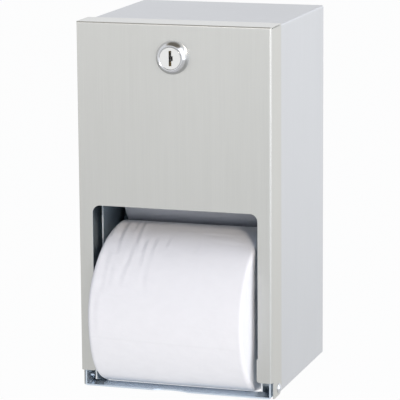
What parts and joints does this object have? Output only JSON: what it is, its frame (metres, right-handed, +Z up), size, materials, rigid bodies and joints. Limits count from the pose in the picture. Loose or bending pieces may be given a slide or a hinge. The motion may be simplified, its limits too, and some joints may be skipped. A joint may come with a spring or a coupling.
{
  "type": "toilet tissue dispenser",
  "caption": "Wall-mounted stainless toilet tissue dispenser with a roll in use, a reserve roll above it, a lockable door that swings down and slotted inner plates for the spindles.",
  "frame": {"origin": "centre of the wall screw pattern, on the back face of the back pan (the wall)", "axes": "+X to the right of a person facing the dispenser, +Y into the wall, +Z up; the door faces -Y"},
  "size_m": [0.158, 0.1792, 0.2868],
  "materials": {
    "satin_stainless": "satin, vertical grain",
    "mill_stainless": "mill finish",
    "rivet_steel": "smooth",
    "plated": "polished",
    "wafer_brass": "stamped",
    "spindle_abs": "moulded",
    "core_card": "raw",
    "tissue": "soft, embossed"
  },
  "bodies": {
    "cabinet": {"cabinet_shell": "satin_stainless", "cabinet_back": "satin_stainless", "lock_strike": "mill_stainless", "housing_plate_left": "mill_stainless", "housing_plate_right": "mill_stainless", "bottom_rail": "mill_stainless", "hinge_rivets": "rivet_steel"},
    "door": {"door_panel": "satin_stainless", "lock_barrel": "plated", "lock_washer": "mill_stainless", "lock_nut": "plated"},
    "lock_core": {"lock_plug": "plated", "lock_wafers": "wafer_brass", "lock_cam": "mill_stainless", "cam_screw": "plated"},
    "roll_in_use": {"in_use_spindle": "spindle_abs", "in_use_core": "core_card", "in_use_paper": "tissue"},
    "reserve_carrier": {"reserve_spindle": "spindle_abs"},
    "roll_in_reserve": {"reserve_core": "core_card", "reserve_paper": "tissue"}
  },
  "joints": [
    {"name": "door_hinge", "type": "hinge", "parent": "cabinet", "child": "door", "pos_m": [0, -0.1345, -0.1382], "axis": [1, 0, 0], "range_deg": [0, 175]},
    {"name": "lock_turn", "type": "hinge", "parent": "door", "child": "lock_core", "pos_m": [0, -0.154, 0.118], "axis": [0, -1, 0], "range_deg": [0, 180]},
    {"name": "in_use_spin", "type": "hinge", "parent": "cabinet", "child": "roll_in_use", "pos_m": [0, -0.1165, -0.0811], "axis": [1, 0, 0], "continuous": true},
    {"name": "reserve_lift", "type": "slide", "parent": "cabinet", "child": "reserve_carrier", "axis": [0, 0, 1], "range_m": [0, 0.042]},
    {"name": "reserve_spin", "type": "hinge", "parent": "reserve_carrier", "child": "roll_in_reserve", "pos_m": [0, -0.0583, 0.02086], "axis": [1, 0, 0], "continuous": true}
  ]
}
